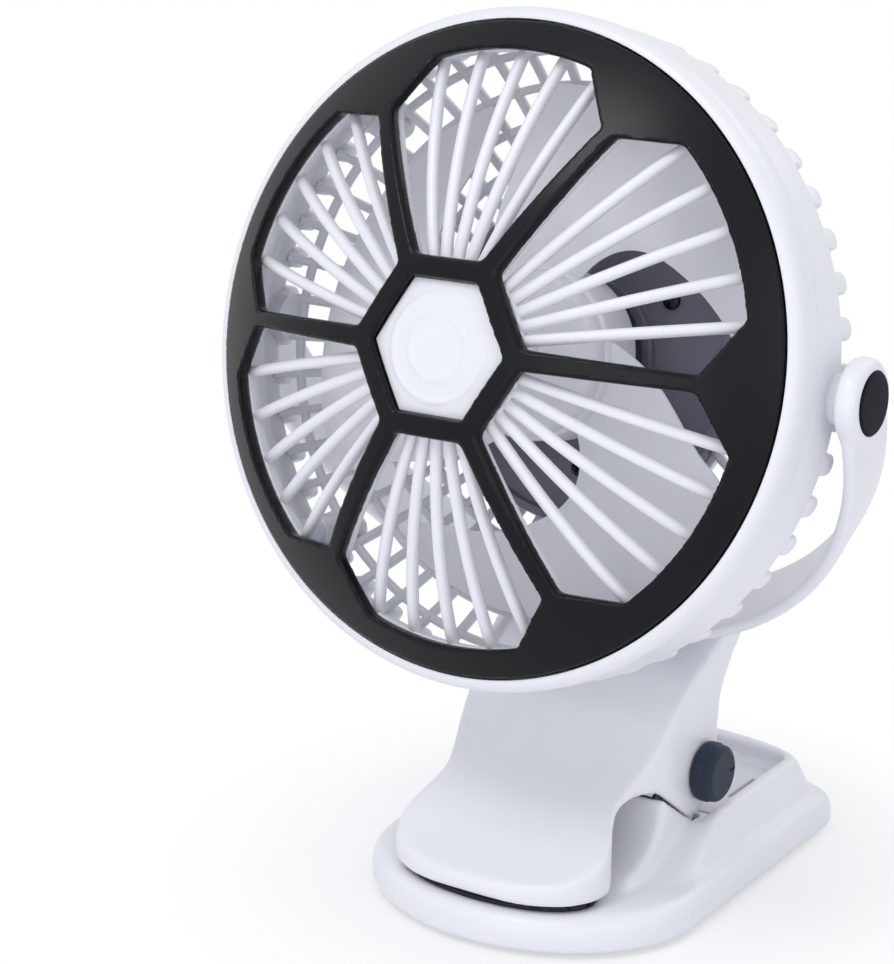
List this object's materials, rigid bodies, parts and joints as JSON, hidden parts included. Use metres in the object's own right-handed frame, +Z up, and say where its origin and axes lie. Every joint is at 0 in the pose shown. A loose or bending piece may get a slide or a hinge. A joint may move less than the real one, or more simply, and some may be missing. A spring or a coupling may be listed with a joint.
{
  "type": "portable clip-on fan",
  "caption": "Portable clip-on fan: a caged round head with black football-pattern trim tilts in a swivelling yoke on a sprung clip that doubles as a weighted desk stand.",
  "frame": {"origin": "centre of the base's resting face, on the table", "axes": "+Z up, -Y the way the fan blows (front of the clip), +X towards the speed knob"},
  "size_m": [0.1682, 0.1336, 0.2128],
  "materials": {
    "white_shell": "satin moulded white plastic",
    "white_inner": "matte moulded pale plastic",
    "black_trim": "glossy black plastic",
    "dark_plastic": "matte dark grey plastic",
    "knob_grey": "satin dark blue-grey plastic",
    "rubber_black": "matte black rubber",
    "rubber_foot": "matte grey rubber foam",
    "blade_plastic": "pale grey moulded plastic",
    "steel": "bright steel",
    "screw_steel": "zinc-plated screw steel",
    "washer_nylon": "grey nylon",
    "cell_wrap": "blue wrapped cell",
    "board": "green circuit board",
    "port_steel": "drawn steel port shell"
  },
  "bodies": {
    "base": {"base_shell": "white_shell", "base_plate": "white_inner", "base_pad": "rubber_foot", "lower_grip_pad": "rubber_black", "battery_cover": "white_inner", "battery_cell": "cell_wrap", "charge_board": "board", "charge_port": "port_steel", "hinge_pin": "steel", "pin_clips": "screw_steel", "hinge_spring": "steel", "base_screws": "screw_steel"},
    "upper_clip": {"upper_jaw": "white_shell", "neck_cover": "white_shell", "cover_screws": "screw_steel", "upper_grip_pad": "rubber_black", "swivel_washer": "washer_nylon", "speed_control": "dark_plastic", "control_board": "board"},
    "dial": {"speed_knob": "knob_grey", "control_shaft": "steel"},
    "yoke_arm": {"yoke": "white_shell", "pivot_caps": "black_trim", "swivel_post": "steel", "swivel_clip": "screw_steel"},
    "head": {"front_grille": "white_shell", "grille_trim": "black_trim", "front_disc": "white_shell", "rear_shell": "white_shell", "motor_mount": "dark_plastic", "motor_can": "steel", "motor_screws": "screw_steel", "mount_screws": "screw_steel", "grille_screws": "screw_steel", "pivot_screws": "screw_steel", "pivot_washers": "washer_nylon"},
    "rotor": {"motor_shaft": "steel", "impeller": "blade_plastic", "hub_cap": "blade_plastic"}
  },
  "joints": [
    {"name": "clip_hinge", "type": "hinge", "parent": "base", "child": "upper_clip", "pos_m": [0, 0.002, 0.0175], "axis": [-1, 0, 0], "range_deg": [0, 24], "stiffness_Nm_per_rad": 0.6, "springref_deg": -40.11, "deforming": ["hinge_spring"]},
    {"name": "speed_dial", "type": "hinge", "parent": "upper_clip", "child": "dial", "pos_m": [0.029, 0.004, 0.0284], "axis": [1, 0, 0], "range_deg": [0, 270]},
    {"name": "yoke_swivel", "type": "hinge", "parent": "upper_clip", "child": "yoke_arm", "pos_m": [0, -0.029, 0.135], "axis": [0, -0.4695, 0.8829], "range_deg": [-175, 175]},
    {"name": "head_tilt", "type": "hinge", "parent": "yoke_arm", "child": "head", "pos_m": [0, -0.029, 0.135], "axis": [1, 0, 0], "range_deg": [-100, 75]},
    {"name": "fan_spin", "type": "hinge", "parent": "head", "child": "rotor", "pos_m": [0, -0.029, 0.135], "axis": [0, -0.9767, 0.2147], "continuous": true}
  ]
}
